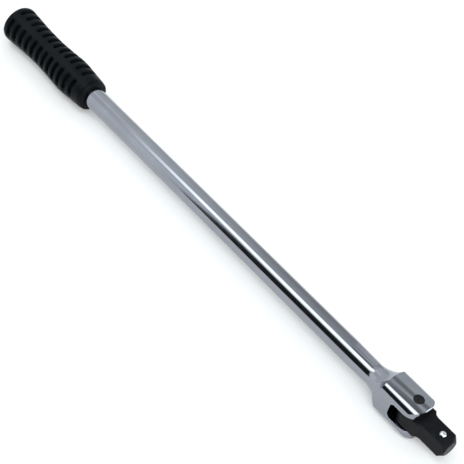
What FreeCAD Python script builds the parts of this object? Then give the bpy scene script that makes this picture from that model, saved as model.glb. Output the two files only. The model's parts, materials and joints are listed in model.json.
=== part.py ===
"""Breaker bar: a chromed forged bar with a flex head, a moulded grip and a 12.7 mm square drive.

Units are millimetres. Everything is first made about the pivot: X runs along the bar towards the drive tip,
Z is the pivot pin's axis, and Y points across the fork's flat sides. The finished pieces are then moved so
that the origin is under the middle of the tool, on the surface it lies on.
"""
import FreeCAD, Part
import math
import os

Vector = FreeCAD.Vector
X_AXIS, Y_AXIS, Z_AXIS = Vector(1, 0, 0), Vector(0, 1, 0), Vector(0, 0, 1)

# Driving dimensions.
SQUARE = 12.7            # across the flats of the drive square
TIP_X = 31.2             # pivot axis to the drive tip
GRIP_END_X = -426.0      # pivot axis to the rear of the grip: 457.2 mm over all
BAR_D = 16.0             # round bar
PIN_D = 7.2              # pivot pin
BALL_D = 5.5             # detent ball
FRICTION_BALL_D = 5.0    # ball that holds the head's angle

# Forged fork.
FORK_HALF_W = 11.1       # flat sides, across Y
FORK_HALF_H = 14.3       # crown of the ears, along Z
FORK_FRONT_X = 9.0
CROWN_R = 22.0           # ears' outer faces, across the bar
FORK_CORNER_R = 6.0      # long corners between flat side and crown
EAR_CORNER_R = 10.0      # ears' front corners, seen along the pin
EAR_BEVEL = 0.6          # bevel on the ears' front edge
SLOT_GAP = 13.2          # between the ears
SLOT_REAR_X = -10.6      # front face of the web
SLOT_CORNER_R = 3.2     
NECK_D = 15.2
NECK_START_X = -54.0     # where the bar begins to narrow
FLARE_START_X = -35.2   
FLARE_R = 18.6           # concave flare from the neck to the fork
EDGE_R = 0.4             # broken edges round the slot
BAR_END_X = -422.0       # rear end of the bar, inside the grip
BAR_END_CHAMFER = 1.0

# Drive tang.
TONGUE_HALF_W = 8.9      # round back and straight sides of the tongue
TONGUE_SIDE_X = 9.7      # where the straight sides end
SCOOP_R = 5.0            # hollow from the tongue's side to the square
SHOULDER_R = 0.8         # rounded ridge where the scoop meets the straight side
TANG_EDGE_R = 0.7        # broken edges round both faces of the tang
TIP_FACE_R = 5.5         # round end face, inside a 45 degree turned chamfer
PIN_CLEARANCE = 0.05     # radial, pin in the tongue

# Detent ball, its hole in the square and its spring.
BALL_X = TIP_X - 8.0
BALL_PROUD = 1.1
BALL_CLEARANCE = 0.05
BALL_HOLE_DEPTH = 8.6
STAKE_LIP_R = 2.35       # mouth closed in over the ball
STAKE_LIP_DEPTH = 0.35
STAKE_GROOVE_R = 3.15    # ring left round the ball by the staking punch
STAKE_GROOVE_W = 0.35

# Friction ball, its hole in the web and its spring.
FRICTION_GAP = 0.1       # between ball and tongue
FRICTION_HOLE_DEPTH = 13.0
SPRING_GAP = 0.03        # between a spring's end and what it touches

# Grip.
GRIP_FRONT_X = -328.8
GRIP_TURN = 24.5         # degrees from +Z to the top strip, turned towards -Y
# Outline of the contoured body, from the front collar to the rear rim: (X, radius).
GRIP_OUTLINE = [
    (-331.6, 12.3), (-343.0, 13.2), (-354.5, 14.1), (-370.0, 13.2), (-384.0, 12.6), (-400.0, 12.95),
    (-412.0, 13.7), (-421.5, 14.4),
]
GRIP_RIM_R = 2.6         # rounding at the rear rim
GRIP_DOME = 1.0          # height of the shallow domed end
COLLAR_R = 12.0
COLLAR_EDGE_R = 1.6
COLLAR_GROOVE_W = 0.7
COLLAR_GROOVE_R = 11.6   # floor of the groove behind the collar
SLOT_ROWS = 4
SLOTS_PER_ROW = 12
FIRST_SLOT_X = -341.0
LAST_SLOT_X = -418.6
GRIP_SLOT_W = 4.1
GRIP_SLOT_DEPTH = 2.8
STRIP_HALF_ANGLE = 11.5  # half of the plain strip between two rows, degrees

SHIFT = Vector(-(TIP_X + GRIP_END_X) / 2, 0, max(r for x, r in GRIP_OUTLINE))


def rod(radius, x0, x1):
    """Round rod along X."""
    return Part.makeCylinder(radius, x1 - x0, Vector(x0, 0, 0), X_AXIS)


def block(x0, x1, y0, y1, z0, z1):
    return Part.makeBox(x1 - x0, y1 - y0, z1 - z0, Vector(x0, y0, z0))


def line(a, b):
    return Part.LineSegment(a, b).toShape()


def arc(a, middle, b):
    return Part.Arc(a, middle, b).toShape()


def solid_of_revolution(edges):
    """Turn a closed outline in the XZ plane about the X axis."""
    face = Part.Face(Part.Wire(Part.__sortEdges__(edges)))
    return face.revolve(Vector(0, 0, 0), X_AXIS, 360)


def extrusion(edges, direction):
    return Part.Face(Part.Wire(Part.__sortEdges__(edges))).extrude(direction)


def coil_spring(wire_d, mean_r, length, turns):
    """Round-wire compression spring standing on Z = 0, with both ends ground flat."""
    pitch = length / turns
    path = Part.makeHelix(pitch, length, mean_r)
    section = Part.Wire(Part.makeCircle(wire_d / 2, Vector(mean_r, 0, 0), Y_AXIS))
    spring = Part.Wire(path.Edges).makePipeShell([section], True, True)
    outer_r = mean_r + wire_d
    return spring.common(Part.makeCylinder(outer_r, length, Vector(0, 0, 0), Z_AXIS))


def lay_along(shape, start, direction):
    """Turn a shape built on +Z so that it starts at a point and runs along a direction."""
    placed = shape.copy()
    placed.Placement = FreeCAD.Placement(start, FreeCAD.Rotation(Z_AXIS, direction))
    return placed


def fork_section():
    """Prism of the fork's cross-section: flat sides, crowned ears and round long corners."""
    x0, x1 = BAR_END_X, FORK_FRONT_X
    crown_z = FORK_HALF_H - CROWN_R
    # Centre of each corner circle: tangent to the flat side and to the crown from inside.
    corner_y = FORK_HALF_W - FORK_CORNER_R
    corner_z = crown_z + math.sqrt((CROWN_R - FORK_CORNER_R) ** 2 - corner_y ** 2)
    slope = math.atan2(corner_y, corner_z - crown_z)
    middle = (slope + math.pi / 2) / 2

    def corner_point(angle, side, up):
        y = corner_y + FORK_CORNER_R * math.sin(angle)
        z = corner_z + FORK_CORNER_R * math.cos(angle)
        return Vector(x0, side * y, up * z)

    edges = []
    for up in (-1, 1):
        edges.append(arc(corner_point(slope, -1, up), Vector(x0, 0, up * FORK_HALF_H), corner_point(slope, 1, up)))
        for side in (-1, 1):
            edges.append(arc(*(corner_point(a, side, up) for a in (slope, middle, math.pi / 2))))
    for side in (-1, 1):
        edges.append(line(corner_point(math.pi / 2, side, -1), corner_point(math.pi / 2, side, 1)))
    return extrusion(edges, Vector(x1 - x0, 0, 0))


def bar_and_flare():
    """The bar, its neck and the concave flare, turned as one."""
    bar_r, neck_r = BAR_D / 2, NECK_D / 2
    reach = FLARE_R * 0.97
    drop = FLARE_R - math.sqrt(FLARE_R ** 2 - reach ** 2)
    half = reach / 2
    half_drop = FLARE_R - math.sqrt(FLARE_R ** 2 - half ** 2)
    flare_x, flare_r = FLARE_START_X + reach, neck_r + drop
    neck_in = Vector(NECK_START_X, 0, bar_r)
    neck_out = Vector(FLARE_START_X, 0, neck_r)
    neck = Part.BSplineCurve()
    neck.interpolate(Points=[neck_in, neck_out], InitialTangent=X_AXIS, FinalTangent=X_AXIS)
    edges = [
        line(Vector(BAR_END_X, 0, 0), Vector(BAR_END_X, 0, bar_r - BAR_END_CHAMFER)),
        line(Vector(BAR_END_X, 0, bar_r - BAR_END_CHAMFER), Vector(BAR_END_X + BAR_END_CHAMFER, 0, bar_r)),
        line(Vector(BAR_END_X + BAR_END_CHAMFER, 0, bar_r), neck_in),
        neck.toShape(),
        arc(neck_out, Vector(FLARE_START_X + half, 0, neck_r + half_drop), Vector(flare_x, 0, flare_r)),
        line(Vector(flare_x, 0, flare_r), Vector(FORK_FRONT_X, 0, flare_r)),
        line(Vector(FORK_FRONT_X, 0, flare_r), Vector(FORK_FRONT_X, 0, 0)),
        line(Vector(FORK_FRONT_X, 0, 0), Vector(BAR_END_X, 0, 0)),
    ]
    return solid_of_revolution(edges)


def ear_plan():
    """Outline of the fork seen along the pin: straight sides and round front corners."""
    w, r, front = FORK_HALF_W, EAR_CORNER_R, FORK_FRONT_X
    diagonal = r * (1 - math.sqrt(0.5))
    rear, low = BAR_END_X, -2 * FORK_HALF_H
    edges = [
        line(Vector(rear, -w, low), Vector(rear, w, low)),
        line(Vector(front, r - w, low), Vector(front, w - r, low)),
    ]
    for side in (-1, 1):
        edges.append(line(Vector(rear, side * w, low), Vector(front - r, side * w, low)))
        edges.append(arc(Vector(front - r, side * w, low),
                         Vector(front - diagonal, side * (w - diagonal), low),
                         Vector(front, side * (w - r), low)))
    return extrusion(edges, Vector(0, 0, 4 * FORK_HALF_H))


def fork_slot():
    """Through slot between the ears, with rounded corners at the web."""
    z, r, rear, side = SLOT_GAP / 2, SLOT_CORNER_R, SLOT_REAR_X, -2 * FORK_HALF_W
    diagonal = r * (1 - math.sqrt(0.5))
    front = FORK_FRONT_X + 1
    edges = [line(Vector(rear, side, r - z), Vector(rear, side, z - r)),
             line(Vector(front, side, -z), Vector(front, side, z))]
    for up in (-1, 1):
        edges.append(line(Vector(front, side, up * z), Vector(rear + r, side, up * z)))
        edges.append(arc(Vector(rear + r, side, up * z),
                         Vector(rear + diagonal, side, up * (z - diagonal)),
                         Vector(rear, side, up * (z - r))))
    return extrusion(edges, Vector(0, 4 * FORK_HALF_W, 0))


def make_fork_bar():
    forging = bar_and_flare().common(fork_section()).common(ear_plan()).cut(fork_slot())
    mouth = [
        edge for edge in forging.Edges
        if edge.BoundBox.XMin > SLOT_REAR_X - 0.01
        and max(-edge.BoundBox.ZMin, edge.BoundBox.ZMax) < SLOT_GAP / 2 + 0.01
        and edge.BoundBox.YLength < 2 * FORK_HALF_W - 0.01
    ]
    forging = forging.makeFillet(EDGE_R, mouth)
    for up in (-1, 1):
        bevel = Part.makeBox(4, 2 * FORK_HALF_W, 4, Vector(-2, -FORK_HALF_W, 0))
        bevel.rotate(Vector(0, 0, 0), Y_AXIS, 45)
        bevel.translate(Vector(FORK_FRONT_X, 0, FORK_HALF_H - EAR_BEVEL))
        if up < 0:
            bevel = bevel.mirror(Vector(0, 0, 0), Z_AXIS)
        forging = forging.cut(bevel)
    pin_hole = Part.makeCylinder(PIN_D / 2, 4 * FORK_HALF_H, Vector(0, 0, -2 * FORK_HALF_H))
    ball_hole = rod(FRICTION_BALL_D / 2 + BALL_CLEARANCE, SLOT_REAR_X - FRICTION_HOLE_DEPTH, SLOT_REAR_X + 1)
    return forging.cut(pin_hole).cut(ball_hole)


def grip_radius(x, outline):
    """Outer radius of the grip's contour at x."""
    cut = outline.intersect(Part.Line(Vector(x, 0, 0), Vector(x, 0, 1)))
    return cut[0].Z if cut else COLLAR_R


def make_grip_sleeve():
    outline = Part.BSplineCurve()
    outline.interpolate([Vector(x, 0, r) for x, r in GRIP_OUTLINE])
    first_x, first_r = GRIP_OUTLINE[0]
    rim_x, rim_r = GRIP_OUTLINE[-1]
    groove_x = first_x + COLLAR_GROOVE_W
    edge_diagonal = COLLAR_EDGE_R * (1 - math.sqrt(0.5))
    dome_edge = Vector(GRIP_END_X + GRIP_DOME, 0, rim_r - GRIP_RIM_R)
    rim_middle = Vector(dome_edge.x + 0.3 * (rim_x - dome_edge.x), 0, rim_r - 0.3 * GRIP_RIM_R)
    dome_middle = Vector(GRIP_END_X + 0.25 * GRIP_DOME, 0, 0.5 * dome_edge.z)
    edges = [
        outline.toShape(),
        line(Vector(first_x, 0, first_r), Vector(first_x, 0, COLLAR_GROOVE_R)),
        line(Vector(first_x, 0, COLLAR_GROOVE_R), Vector(groove_x, 0, COLLAR_GROOVE_R)),
        line(Vector(groove_x, 0, COLLAR_GROOVE_R), Vector(groove_x, 0, COLLAR_R)),
        line(Vector(groove_x, 0, COLLAR_R), Vector(GRIP_FRONT_X - COLLAR_EDGE_R, 0, COLLAR_R)),
        arc(Vector(GRIP_FRONT_X - COLLAR_EDGE_R, 0, COLLAR_R),
            Vector(GRIP_FRONT_X - edge_diagonal, 0, COLLAR_R - edge_diagonal),
            Vector(GRIP_FRONT_X, 0, COLLAR_R - COLLAR_EDGE_R)),
        line(Vector(GRIP_FRONT_X, 0, COLLAR_R - COLLAR_EDGE_R), Vector(GRIP_FRONT_X, 0, 0)),
        line(Vector(GRIP_FRONT_X, 0, 0), Vector(GRIP_END_X, 0, 0)),
        arc(Vector(GRIP_END_X, 0, 0), dome_middle, dome_edge),
        arc(dome_edge, rim_middle, Vector(rim_x, 0, rim_r)),
    ]
    sleeve = solid_of_revolution(edges)

    pitch = (LAST_SLOT_X - FIRST_SLOT_X) / (SLOTS_PER_ROW - 1)
    row_angle = 360 / SLOT_ROWS
    slots = []
    for row in range(SLOT_ROWS):
        row_start = GRIP_TURN + row * row_angle
        for index in range(SLOTS_PER_ROW):
            x = FIRST_SLOT_X + index * pitch
            floor_r = grip_radius(x, outline) - GRIP_SLOT_DEPTH
            slots.append(grip_slot(x, floor_r, row_start, row_angle))
    return sleeve.cut(slots).cut(rod(BAR_D / 2, BAR_END_X, GRIP_FRONT_X + 1))


def grip_slot(x, floor_r, strip_angle, row_angle):
    """Cutter for one slot round the grip, with round ends, between two plain strips."""
    half = GRIP_SLOT_W / 2
    top_r = floor_r + 2 * GRIP_SLOT_DEPTH
    end_inset = math.degrees(half / (floor_r + GRIP_SLOT_DEPTH))
    start = strip_angle + STRIP_HALF_ANGLE + end_inset
    span = row_angle - 2 * (STRIP_HALF_ANGLE + end_inset)
    face = Part.Face(Part.makePolygon([
        Vector(x - half, 0, floor_r), Vector(x + half, 0, floor_r),
        Vector(x + half, 0, top_r), Vector(x - half, 0, top_r), Vector(x - half, 0, floor_r)]))
    face.rotate(Vector(0, 0, 0), X_AXIS, start)
    slot = face.revolve(Vector(0, 0, 0), X_AXIS, span)
    floor = rod(floor_r, x - GRIP_SLOT_W, x + GRIP_SLOT_W)
    for angle in (start, start + span):
        end = Part.makeCylinder(half, top_r, Vector(x, 0, 0), Z_AXIS).cut(floor)
        end.rotate(Vector(0, 0, 0), X_AXIS, angle)
        slot = slot.fuse(end)
    return slot


def tang_plan():
    """Outline of the tang seen along the pin: round back, straight sides, scoops and square."""
    w, a, low = TONGUE_HALF_W, SQUARE / 2, -SQUARE / 2
    scoop_dx = math.sqrt(SCOOP_R ** 2 - (SCOOP_R - (w - a)) ** 2)
    scoop_x = TONGUE_SIDE_X + scoop_dx
    sweep = math.atan2(scoop_dx, SCOOP_R - (w - a)) / 2
    edges = [
        arc(Vector(0, -w, low), Vector(-w, 0, low), Vector(0, w, low)),
        line(Vector(TIP_X, -a, low), Vector(TIP_X, a, low)),
    ]
    for side in (-1, 1):
        middle = Vector(scoop_x - SCOOP_R * math.sin(sweep), side * (a + SCOOP_R * (1 - math.cos(sweep))), low)
        edges.append(line(Vector(0, side * w, low), Vector(TONGUE_SIDE_X, side * w, low)))
        edges.append(arc(Vector(TONGUE_SIDE_X, side * w, low), middle, Vector(scoop_x, side * a, low)))
        edges.append(line(Vector(scoop_x, side * a, low), Vector(TIP_X, side * a, low)))
    return extrusion(edges, Vector(0, 0, SQUARE))


def make_drive_tang():
    tang = tang_plan()
    half = SQUARE / 2
    ridges = [
        edge for edge in tang.Edges
        if edge.BoundBox.ZLength > half and abs(edge.CenterOfMass.x - TONGUE_SIDE_X) < 0.01
    ]
    tang = tang.makeFillet(SHOULDER_R, ridges)
    face_edges = [
        edge for edge in tang.Edges
        if edge.BoundBox.ZLength < 0.01 and edge.BoundBox.XMin < TIP_X - 0.01
    ]
    tang = tang.makeFillet(TANG_EDGE_R, face_edges)
    # The tip is turned: a cone at 45 degrees trims the corners and leaves a round end face.
    corner_reach = half * math.sqrt(2)
    cone_len = corner_reach + 1 - TIP_FACE_R
    cone = Part.makeCone(corner_reach + 1, TIP_FACE_R, cone_len, Vector(TIP_X - cone_len, 0, 0), X_AXIS)
    wide = 2 * TONGUE_HALF_W
    envelope = block(-wide, TIP_X - cone_len, -wide, wide, -wide, wide).fuse(cone)
    tang = tang.common(envelope)

    pin_hole = Part.makeCylinder(PIN_D / 2 + PIN_CLEARANCE, 2 * SQUARE, Vector(0, 0, -SQUARE))
    hole_r = BALL_D / 2 + BALL_CLEARANCE
    lip_z = half - STAKE_LIP_DEPTH
    ball_hole = Part.makeCylinder(hole_r, BALL_HOLE_DEPTH - STAKE_LIP_DEPTH, Vector(BALL_X, 0, half - BALL_HOLE_DEPTH))
    lip = Part.makeCone(hole_r, STAKE_LIP_R, STAKE_LIP_DEPTH, Vector(BALL_X, 0, lip_z))
    groove = Part.makeTorus(STAKE_GROOVE_R, STAKE_GROOVE_W / 2, Vector(BALL_X, 0, half), Z_AXIS)
    return tang.cut(pin_hole).cut(ball_hole.fuse(lip)).cut(groove)


def make_pivot_pin():
    length = 2 * (FORK_HALF_H - 0.3)
    pin = Part.makeCylinder(PIN_D / 2, length, Vector(0, 0, -length / 2))
    return pin.makeChamfer(0.3, [edge for edge in pin.Edges if abs(edge.BoundBox.ZLength) < 0.01])


def make_detent_ball():
    return Part.makeSphere(BALL_D / 2, Vector(BALL_X, 0, SQUARE / 2 + BALL_PROUD - BALL_D / 2))


def make_detent_spring():
    wire_d, mean_r = 0.5, 2.0
    bottom = SQUARE / 2 - BALL_HOLE_DEPTH
    ball_z = SQUARE / 2 + BALL_PROUD - BALL_D / 2
    # The last coil touches the ball on a circle of the spring's own mean radius.
    top = ball_z - math.sqrt((BALL_D / 2) ** 2 - (mean_r - wire_d / 2) ** 2) - SPRING_GAP
    spring = coil_spring(wire_d, mean_r, top - bottom - SPRING_GAP, 4)
    return lay_along(spring, Vector(BALL_X, 0, bottom + SPRING_GAP), Z_AXIS)


def make_friction_ball():
    front = -TONGUE_HALF_W - FRICTION_GAP
    return Part.makeSphere(FRICTION_BALL_D / 2, Vector(front - FRICTION_BALL_D / 2, 0, 0))


def make_friction_spring():
    wire_d, mean_r = 0.8, 1.9
    rear = SLOT_REAR_X - FRICTION_HOLE_DEPTH
    ball_x = -TONGUE_HALF_W - FRICTION_GAP - FRICTION_BALL_D / 2
    front = ball_x - math.sqrt((FRICTION_BALL_D / 2) ** 2 - (mean_r - wire_d / 2) ** 2) - SPRING_GAP
    spring = coil_spring(wire_d, mean_r, front - rear - SPRING_GAP, 6)
    return lay_along(spring, Vector(rear + SPRING_GAP, 0, 0), X_AXIS)


PIECES = {
    "fork_bar": make_fork_bar,
    "grip_sleeve": make_grip_sleeve,
    "drive_tang": make_drive_tang,
    "pivot_pin": make_pivot_pin,
    "detent_ball": make_detent_ball,
    "detent_spring": make_detent_spring,
    "friction_ball": make_friction_ball,
    "friction_spring": make_friction_spring,
}

os.makedirs("parts", exist_ok=True)
for name, make in PIECES.items():
    piece = make()
    piece.translate(SHIFT)
    piece.exportStep(f"parts/{name}.step")
    print(name, len(piece.Solids), "solid(s), valid", piece.isValid(), "volume", round(piece.Volume, 2))
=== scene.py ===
"""Breaker bar: chromed bar with a forged fork, black drive tang on a pivot pin, moulded grip."""

import json
import math

import bpy
from mathutils import Euler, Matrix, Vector


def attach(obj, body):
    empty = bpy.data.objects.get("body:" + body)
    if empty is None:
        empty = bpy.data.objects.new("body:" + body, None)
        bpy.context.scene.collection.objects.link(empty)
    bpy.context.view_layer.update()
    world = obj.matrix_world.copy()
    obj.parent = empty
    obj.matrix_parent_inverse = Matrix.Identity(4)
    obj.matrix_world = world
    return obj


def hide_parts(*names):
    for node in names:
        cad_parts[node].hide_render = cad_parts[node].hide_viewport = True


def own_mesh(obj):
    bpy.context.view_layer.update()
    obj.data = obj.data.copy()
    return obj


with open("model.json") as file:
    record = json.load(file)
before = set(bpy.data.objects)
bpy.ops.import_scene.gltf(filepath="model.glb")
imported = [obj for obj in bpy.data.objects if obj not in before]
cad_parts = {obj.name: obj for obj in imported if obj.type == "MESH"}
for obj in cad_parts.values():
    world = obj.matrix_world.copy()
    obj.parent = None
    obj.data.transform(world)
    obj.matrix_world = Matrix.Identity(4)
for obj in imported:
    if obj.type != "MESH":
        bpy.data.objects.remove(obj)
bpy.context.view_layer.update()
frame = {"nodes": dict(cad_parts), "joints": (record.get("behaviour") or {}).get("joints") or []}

bpy.ops.object.select_all(action="DESELECT")

# Fork bar: one steel forging, 16 mm round bar with a crowned fork at the head. It is turned,
# ground, polished along its length and chromed, so fine polishing lines run along the bar.
MM = 0.001
PIVOT = Vector(next(j for j in frame["joints"] if j["name"] == "head_swing")["pos_m"])

CHROME = (0.305, 0.318, 0.356, 1)
CHROME_HAZE = tuple(0.93 * c for c in CHROME[:3]) + (1,)
POLISH_LINES = (14, 900, 900)            # long along the bar, fine across it
SMOOTH_ANGLE = math.radians(28)


class Wire:
    """One output socket of a shader node, so that shader maths reads as plain expressions."""

    def __init__(self, tree, socket):
        self.tree, self.socket = tree, socket

    def maths(self, operation, *values):
        return node(self.tree, "ShaderNodeMath", {"operation": operation}, dict(enumerate(values)))

    def __add__(self, other):
        return self.maths("ADD", self, other)

    def __sub__(self, other):
        return self.maths("SUBTRACT", self, other)

    def __rsub__(self, other):
        return self.maths("SUBTRACT", other, self)

    def __mul__(self, other):
        return self.maths("MULTIPLY", self, other)

    __radd__, __rmul__ = __add__, __mul__

    def size(self):
        return self.maths("ABSOLUTE", self)

    def towards(self, value, share):
        """This value moved towards another by a share of the way."""
        return self + (value - self) * share

    def between(self, low, high):
        """0 at low, 1 at high, smooth in between; low may be the larger of the two."""
        return node(self.tree, "ShaderNodeMapRange", {"interpolation_type": "SMOOTHSTEP"},
                    {"Value": self, "From Min": low, "From Max": high})


def node(tree, kind, settings=None, inputs=None, output=0):
    """Add a node: its settings first, then the values and links of its sockets."""
    made = tree.nodes.new(kind)
    for name, value in (settings or {}).items():
        setattr(made, name, value)
    for name, value in (inputs or {}).items():
        if isinstance(value, Wire):
            tree.links.new(value.socket, made.inputs[name])
        else:
            made.inputs[name].default_value = value
    return Wire(tree, made.outputs[output])


def mixed(tree, amount, first, second):
    """Colour from first to second by amount."""
    return node(tree, "ShaderNodeMix", {"data_type": "RGBA"}, {0: amount, 6: first, 7: second}, 2)


def new_material(name):
    """Empty material with its surface shader, its tree and the object's own coordinates."""
    material = bpy.data.materials.new(name)
    material.use_nodes = True
    tree = material.node_tree
    place = node(tree, "ShaderNodeTexCoord", output=3)
    return material, tree, tree.nodes["Principled BSDF"], place


def finish_surface(tree, surface, **inputs):
    """Set or link the surface shader's sockets, named with _ for a space."""
    for name, value in inputs.items():
        socket = surface.inputs[name.replace("_", " ")]
        if isinstance(value, Wire):
            tree.links.new(value.socket, socket)
        else:
            socket.default_value = value


def stretched(tree, place, scale):
    """The object's coordinates with one scale for each axis."""
    return node(tree, "ShaderNodeMapping", {}, {"Vector": place, "Scale": scale})


def noise(tree, place, scale, detail=2.0, roughness=0.5):
    return node(tree, "ShaderNodeTexNoise", {},
                {"Vector": place, "Scale": scale, "Detail": detail, "Roughness": roughness})


def bump(tree, height, distance):
    """Surface normal from a height, with its depth in metres."""
    return node(tree, "ShaderNodeBump", {}, {"Height": height, "Distance": distance, "Strength": 1.0})


def dress(name, material):
    """Give a finished surface to a node of the frame."""
    piece = frame["nodes"][name]
    if not piece.material_slots:
        piece.data.materials.append(material)
    for slot in piece.material_slots:
        slot.material = material


def chrome_material():
    material, tree, surface, place = new_material("polished_chrome")
    lines = noise(tree, stretched(tree, place, POLISH_LINES), 1.0, 3.0, 0.6)
    clouds = noise(tree, place, 60.0, 3.0, 0.6)
    tone = mixed(tree, clouds.between(0.3, 0.7), CHROME, CHROME_HAZE)
    finish_surface(
        tree, surface, Base_Color=tone, Metallic=1.0, Roughness=0.05 + 0.05 * clouds + 0.03 * lines,
        Normal=bump(tree, lines, 0.0000015))
    return material


dress("fork_bar", chrome_material())

# Pivot pin: hardened steel pin through both ears and the tang, its ends dark and dressed
# flush with the crown.
PIN_DARK, PIN_LIGHT = (0.014, 0.014, 0.015, 1), (0.032, 0.032, 0.031, 1)
pin, tree, surface, place = new_material("pin_steel")
grain = noise(tree, place, 900.0, 3.0)
finish_surface(
    tree, surface,
    Base_Color=mixed(tree, grain.between(0.3, 0.75), PIN_DARK, PIN_LIGHT),
    Metallic=0.85, Roughness=0.42 + 0.15 * grain, Normal=bump(tree, grain, 0.00002))
dress("pivot_pin", pin)

# Drive tang: machined steel, satin in black oxide, which takes unevenly and so is faintly
# mottled. A round-backed tongue turns in the fork and ends in the drive square.
OXIDE_DARK, OXIDE_LIGHT = (0.002, 0.0024, 0.0036, 1), (0.0085, 0.009, 0.011, 1)
tang, tree, surface, place = new_material("black_oxide")
grain = noise(tree, place, 1400.0, 4.0, 0.6)
clouds = noise(tree, place, 160.0, 3.0, 0.6)
mottle = 0.55 * clouds.between(0.25, 0.75) + 0.45 * grain.between(0.4, 0.7)
finish_surface(
    tree, surface, Base_Color=mixed(tree, mottle, OXIDE_DARK, OXIDE_LIGHT),
    Specular_IOR_Level=0.1, Roughness=0.32 + 0.16 * clouds, Normal=bump(tree, grain, 0.000012))
dress("drive_tang", tang)

# Balls: polished bearing steel, each in a blind hole. The one in the square holds a socket and
# is kept in by a staked ring. The one in the fork's web rubs on the tang's back.
balls, tree, surface, place = new_material("ball_steel")
haze = noise(tree, place, 500.0)
finish_surface(
    tree, surface, Base_Color=(0.72, 0.73, 0.75, 1), Metallic=1.0, Roughness=0.06 + 0.08 * haze)
for name in ("detent_ball", "friction_ball"):
    dress(name, balls)

# Springs: coils of bright wire with ground ends, one behind each ball. Each is a copy of the
# node's coil.
# Node, body, joint, the ball's travel in metres, and the coil's axis:
SPRINGS = (
    ("detent_spring", "drive_head", "detent_ball_press", 0.0011, (0, 0, 1)),
    ("friction_spring", "handle", "friction_ball_press", 0.0005, (1, 0, 0)))
COIL_MERGE = 1e-7                        # metres


def edit(piece):
    """Open one piece in edit mode, with nothing else selected."""
    bpy.ops.object.select_all(action="DESELECT")
    bpy.context.view_layer.objects.active = piece
    piece.select_set(True)
    bpy.ops.object.mode_set(mode="EDIT")
    bpy.ops.mesh.select_mode(type="VERT")


springs, tree, surface, place = new_material("spring_steel")
haze = noise(tree, place, 800.0)
finish_surface(
    tree, surface, Base_Color=(0.34, 0.35, 0.37, 1), Metallic=1.0, Roughness=0.28 + 0.15 * haze)
for name, body, joint, travel, axis in SPRINGS:
    axis = Vector(axis)
    coil = bpy.data.objects.new(name.replace("_spring", "_coil"), frame["nodes"][name].data.copy())
    bpy.context.collection.objects.link(coil)
    edit(coil)
    bpy.ops.mesh.select_all(action="SELECT")
    bpy.ops.mesh.remove_doubles(threshold=COIL_MERGE)
    bpy.ops.object.mode_set(mode="OBJECT")
    bpy.ops.object.shade_smooth_by_angle(angle=SMOOTH_ANGLE)
    coil.data.materials.clear()
    coil.data.materials.append(springs)
    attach(coil, body)
    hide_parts(name)
    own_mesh(coil)

# Grip: satin black moulded sleeve pressed on the bar's rear end, waisted for the palm, with
# four rows of twelve deep finger slots, plain strips between them and a ring at the front.
# One slot is modelled in a flat cell, repeated along and round, then wrapped round the bar.
GRIP_TURN = math.radians(24.5)          # top strip, turned towards -Y
FIRST_SLOT, LAST_SLOT = -341.0, -418.6  # slot centres from the pivot, in mm
SLOTS_PER_ROW, SLOT_ROWS = 12, 4
SLOT_W, SLOT_DEPTH, SLOT_BOTTOM_W = 4.1, 2.8, 3.5
SLOT_MOUTH_BEVEL, SLOT_FLOOR_BEVEL = 0.75, 0.5
SLOT_FLOOR_SHORTER = 0.97                # the floor's length as a share of the mouth's
SLAB_H = 6.0                             # the flat cell's height, deeper than any slot
CROSS_CUTS = 20                          # strips that the cell is cut in, to bend round
CUT_SHIFT = 0.003                        # keeps the cuts off the slot's own corners
NEAR = 0.01                              # what counts as the same place, in mm
GRIP_DARK, GRIP_LIGHT = (0.0011, 0.0020, 0.0032, 1), (0.0027, 0.0040, 0.0054, 1)
STRIP_HALF_ANGLE = math.radians(11.5)
WRAP_R = 13.3                            # the flat cell's length round the grip fits this radius
GRIP_OUTLINE = [
    (-331.6, 12.3), (-343.0, 13.2), (-354.5, 14.1), (-370.0, 13.2), (-384.0, 12.6), (-400.0, 12.95),
    (-412.0, 13.7), (-421.5, 14.4),
]
# Turned ends of the sleeve, as (X, radius) from the last cells outwards.
FRONT_RINGS = [
    (-334.6, 12.49), (-331.9, 12.31), (-331.62, 12.22), (-331.5, 12.0), (-331.45, 11.65),
    (-331.0, 11.6), (-330.95, 11.75), (-330.85, 11.93), (-330.6, 12.0), (-330.4, 12.0),
    (-329.75, 11.87), (-329.2, 11.5), (-328.86, 11.0), (-328.8, 10.4), (-328.8, 8.45), (-329.0, 8.1),
    (-329.6, 8.02),
]
REAR_RINGS = [
    (-423.2, 14.34), (-424.3, 13.9), (-424.85, 13.1), (-425.1, 12.0), (-425.35, 10.0),
    (-425.6, 7.5), (-425.8, 5.0), (-425.92, 2.5),
]


def choose(piece, kind, wanted):
    """Select the vertices, edges or faces that wanted() accepts, and nothing else."""
    bpy.ops.mesh.select_mode(type=kind)
    bpy.ops.mesh.select_all(action="DESELECT")
    bpy.ops.object.mode_set(mode="OBJECT")
    mesh = piece.data
    places = [v.co for v in mesh.vertices]
    group = {"VERT": mesh.vertices, "EDGE": mesh.edges, "FACE": mesh.polygons}[kind]
    for item in group:
        ends = [item.co] if kind == "VERT" else [places[i] for i in item.vertices]
        item.select = wanted(ends)
    bpy.ops.object.mode_set(mode="EDIT")


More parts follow.
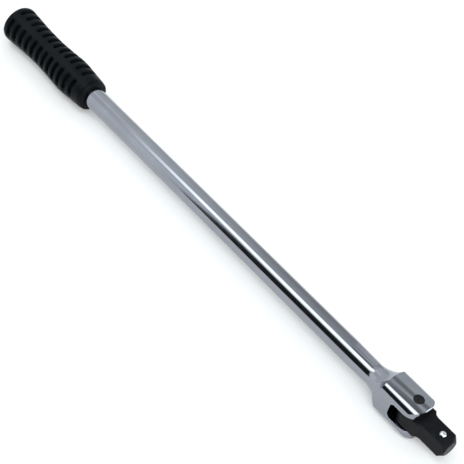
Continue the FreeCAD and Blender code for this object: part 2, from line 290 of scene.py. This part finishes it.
def outline_radius(x):
    """Radius of the waisted body at x, in mm, on a smooth curve through the outline."""
    points = GRIP_OUTLINE
    x = min(max(x, points[-1][0]), points[0][0])
    i = next(k for k in range(len(points) - 1) if x >= points[k + 1][0])
    slopes = []
    for k in (i, i + 1):
        before, after = points[max(k - 1, 0)], points[min(k + 1, len(points) - 1)]
        slopes.append((after[1] - before[1]) / (after[0] - before[0]))
    (x0, r0), (x1, r1) = points[i], points[i + 1]
    h = x1 - x0
    t = (x - x0) / h
    return ((1 + 2 * t) * (1 - t) ** 2 * r0 + t * (1 - t) ** 2 * h * slopes[0]
            + t * t * (3 - 2 * t) * r1 + t * t * (t - 1) * h * slopes[1])


def make_grip():
    """The whole sleeve, modelled in mm about the pivot and set to metres at the end."""
    pitch = (FIRST_SLOT - LAST_SLOT) / (SLOTS_PER_ROW - 1)
    cell_len = 2 * math.pi * WRAP_R / SLOT_ROWS
    reach = cell_len / 2 - STRIP_HALF_ANGLE * WRAP_R - SLOT_W / 2
    bpy.ops.mesh.primitive_cube_add(size=1, location=(0, 0, -SLAB_H / 2))
    cell = bpy.context.object
    cell.name = "grip_body"
    cell.scale = (pitch, cell_len, SLAB_H)
    bpy.ops.object.transform_apply(location=True, rotation=True, scale=True)
    bpy.ops.mesh.primitive_cylinder_add(
        vertices=32, radius=SLOT_W / 2, depth=2 * SLOT_DEPTH, location=(0, 0, 0))
    cutter = bpy.context.object
    edit(cutter)
    for side in (-1, 1):
        choose(cutter, "VERT", lambda ends: side * ends[0].y > NEAR)
        bpy.ops.transform.translate(value=(0, side * reach, 0))
    choose(cutter, "FACE", lambda ends: all(p.z < -0.1 for p in ends))
    bpy.ops.transform.resize(value=(SLOT_BOTTOM_W / SLOT_W, SLOT_FLOOR_SHORTER, 1))
    bpy.ops.object.mode_set(mode="OBJECT")
    bpy.ops.object.select_all(action="DESELECT")
    cell.select_set(True)
    bpy.context.view_layer.objects.active = cell
    carve = cell.modifiers.new("carve", "BOOLEAN")
    carve.object, carve.operation, carve.solver = cutter, "DIFFERENCE", "EXACT"
    bpy.ops.object.modifier_apply(modifier="carve")
    bpy.data.objects.remove(cutter)

    # Round the slot's mouth and floor, then keep only the outer skin.
    edit(cell)
    inside = (pitch / 2 - 0.1, cell_len / 2 - 0.1)
    choose(cell, "EDGE", lambda ends: all(
        abs(p.z) < NEAR and abs(p.x) < inside[0] and abs(p.y) < inside[1] for p in ends))
    bpy.ops.mesh.bevel(offset=SLOT_MOUTH_BEVEL, segments=4, affect="EDGES")
    choose(cell, "EDGE", lambda ends: all(abs(p.z + SLOT_DEPTH) < NEAR for p in ends))
    bpy.ops.mesh.bevel(offset=SLOT_FLOOR_BEVEL, segments=2, affect="EDGES")
    choose(cell, "FACE", lambda ends: (
        all(p.z < -SLOT_DEPTH - 0.5 for p in ends)
        or all(abs(p.x) > pitch / 2 - 0.001 for p in ends)
        or all(abs(p.y) > cell_len / 2 - 0.001 for p in ends)))
    bpy.ops.mesh.delete(type="FACE")
    # Cross cuts let the flat faces bend with the grip's curve.
    for k in range(1, CROSS_CUTS):
        cut_y = cell_len * (k / CROSS_CUTS - 0.5) + CUT_SHIFT
        bpy.ops.mesh.select_all(action="SELECT")
        bpy.ops.mesh.bisect(plane_co=(0, cut_y, 0), plane_no=(0, 1, 0))
    cut_x = 0.5 * (pitch / 2 + SLOT_W / 2) + 0.4
    for x in (-cut_x, cut_x):
        bpy.ops.mesh.select_all(action="SELECT")
        bpy.ops.mesh.bisect(plane_co=(x, 0, 0), plane_no=(1, 0, 0))
    bpy.ops.object.mode_set(mode="OBJECT")

    for count, offset in ((SLOTS_PER_ROW, (-pitch, 0, 0)), (SLOT_ROWS, (0, cell_len, 0))):
        rows = cell.modifiers.new("rows", "ARRAY")
        rows.count = count
        rows.use_relative_offset = False
        rows.use_constant_offset = True
        rows.constant_offset_displace = offset
        rows.use_merge_vertices = True
        rows.merge_threshold = 0.002
        bpy.ops.object.modifier_apply(modifier="rows")

    # Wrap the sheet round the bar's axis, following the waisted outline.
    for v in cell.data.vertices:
        angle = GRIP_TURN + math.pi / SLOT_ROWS + v.co.y / WRAP_R
        x = FIRST_SLOT + v.co.x
        r = outline_radius(x) + v.co.z
        v.co = Vector((x, -r * math.sin(angle), r * math.cos(angle)))
    edit(cell)
    bpy.ops.mesh.select_all(action="SELECT")
    bpy.ops.mesh.remove_doubles(threshold=NEAR)

    # Turned ends: each ring is extruded from the last one and set to its place and radius.
    ends_of_sheet = ((FIRST_SLOT + pitch / 2, FRONT_RINGS), (LAST_SLOT - pitch / 2, REAR_RINGS))
    for edge_x, rings in ends_of_sheet:
        choose(cell, "EDGE", lambda ends: all(abs(p.x - edge_x) < NEAR for p in ends))
        for x, radius in rings:
            bpy.ops.mesh.extrude_edges_move()
            bpy.ops.object.mode_set(mode="OBJECT")
            for v in cell.data.vertices:
                if v.select:
                    scale = radius / math.hypot(v.co.y, v.co.z)
                    v.co = Vector((x, v.co.y * scale, v.co.z * scale))
            bpy.ops.object.mode_set(mode="EDIT")
        if rings is REAR_RINGS:
            bpy.ops.mesh.edge_face_add()
            bpy.ops.mesh.poke()
    bpy.ops.mesh.select_all(action="SELECT")
    bpy.ops.mesh.normals_make_consistent(inside=False)
    bpy.ops.transform.resize(value=(MM, MM, MM), center_override=(0, 0, 0))
    bpy.ops.transform.translate(value=PIVOT)
    bpy.ops.object.mode_set(mode="OBJECT")
    bpy.ops.object.shade_smooth_by_angle(angle=SMOOTH_ANGLE)
    return cell


def grip_material():
    material, tree, surface, place = new_material("moulded_grip")
    grain = noise(tree, place, 2600.0, 2.0)
    clouds = noise(tree, place, 90.0, 3.0)
    finish_surface(
        tree, surface, Base_Color=mixed(tree, clouds.between(0.3, 0.7), GRIP_DARK, GRIP_LIGHT),
        Roughness=0.36 + 0.14 * clouds, Normal=bump(tree, grain, 0.00003), Specular_IOR_Level=0.09)
    return material


grip = make_grip()
grip.data.materials.append(grip_material())
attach(grip, "handle")
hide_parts("grip_sleeve")

# Studio: a plain pale floor, a broad soft light above, and a surround of grey walls with one
# bright strip overhead and one dark panel, which is what polished chrome shows.
FLOOR_SIZE = 60.0
NEAR_WALL, END_GLOW = 0.80, 0.66         # brightness of each part of the surround
STRIP_GLOW, CARD_GLOW, PANEL_GLOW = 2.3, 1.9, 0.018
LINE_GLOW, BAND_GLOW = 0.1, 0.15
bpy.ops.mesh.primitive_plane_add(size=FLOOR_SIZE, location=(0, 0, 0))
floor = bpy.context.object
floor.name = "floor"
pale, tree, surface, place = new_material("pale_floor")
finish_surface(
    tree, surface, Base_Color=(0.62, 0.62, 0.62, 1), Roughness=0.9, Specular_IOR_Level=0.1,
    Emission_Color=(1, 1, 1, 1), Emission_Strength=0.24)
floor.data.materials.append(pale)

world = bpy.data.worlds.new("studio")
bpy.context.scene.world = world
world.use_nodes = True
tree = world.node_tree
look = node(tree, "ShaderNodeTexCoord")
along, across, upward = (
    node(tree, "ShaderNodeSeparateXYZ", {}, {0: look}, axis) for axis in range(3))
turn = across.maths("ARCTAN2", across, upward) * math.degrees(1)   # 0 overhead, 90 level on +Y

# Walls, falling off on the +Y side. Towards the grip's end they are more even.
tail = along.between(-0.40, -0.53)
walls = node(tree, "ShaderNodeMapRange", {"interpolation_type": "LINEAR"},
             {"Value": turn, "From Min": -10.0, "From Max": 95.0, "To Min": 0.50, "To Max": 0.28})
sky = walls.towards(0.60 - 0.16 * turn.between(35, 85), tail)
sky = sky + 0.22 * along.between(-0.33, -0.27) * turn.between(8, 22)
sky = sky + 0.09 * along.between(-0.35, -0.45) * turn.between(-10, 0)
sky = sky.towards(NEAR_WALL, turn.between(-30, -50))

# Two darker lines beside the strip, which show on the fork and on the bar next to it.
near_head = along.between(-0.34, -0.27)
slant = along.maths("MINIMUM", along, -0.2) + 0.25
line = (turn - (5.0 + 230.0 * slant)).size().between(8.0, 4.0) * near_head
band = (turn - (33.0 + 150.0 * slant)).size().between(12.0, 4.0) * near_head
sky = sky.towards(LINE_GLOW, line * 0.8)
sky = sky.towards(BAND_GLOW, band * 0.8)

# The faint line at the strip's tail, the bright strip, the card that faces the head, and the
# dark panel. Straight along the bar, both ways, the surround is plain.
sky = sky + 0.35 * (turn - 6.0).size().between(5.0, 2.0) * along.between(-0.52, -0.545)
strip_turn = -23.5 + 6.0 * along.between(-0.36, -0.46)
sky = sky.towards(STRIP_GLOW, (turn - strip_turn).size().between(15.5, 10.5) * along.between(-0.56, -0.46))
sky = sky.towards(CARD_GLOW, along.between(0.55, 0.72) * turn.between(115, 85) * turn.between(-100, -70))
panel_top = -45.0 - 58.0 * along.between(-0.44, -0.515)
panel = (turn - panel_top).between(3.0, -3.0) * turn.between(-106, -101) * along.between(0.7, 0.6)
sky = sky.towards(PANEL_GLOW, panel)
sky = sky.towards(END_GLOW, along.size().between(0.78, 0.92))
background = tree.nodes["Background"]
tree.links.new(sky.socket, background.inputs["Strength"])
background.inputs["Color"].default_value = (1.46, 1.535, 1.56, 1)

bpy.ops.object.light_add(type="AREA", location=(0, 0, 1.6))
softbox = bpy.context.object
softbox.name = "softbox"
softbox.data.shape = "SQUARE"
softbox.data.size = 3.0
softbox.data.energy = 8.5
softbox.visible_glossy = False

# Camera at the tool's near side, high, with a long lens.
CAMERA_FROM_PIVOT = Vector((0.1860, -0.4280, 0.5965))
CAMERA_TURN = Euler([math.radians(a) for a in (42.39, -9.023, 49.665)])
bpy.ops.object.camera_add()
camera = bpy.context.object
camera.name = "camera"
camera.data.sensor_width = 36.0
camera.data.lens = 94.8
camera.data.clip_start = 0.01
camera.location = PIVOT + CAMERA_FROM_PIVOT
camera.rotation_euler = CAMERA_TURN
bpy.context.scene.camera = camera

bpy.context.scene.view_settings.view_transform = "Standard"
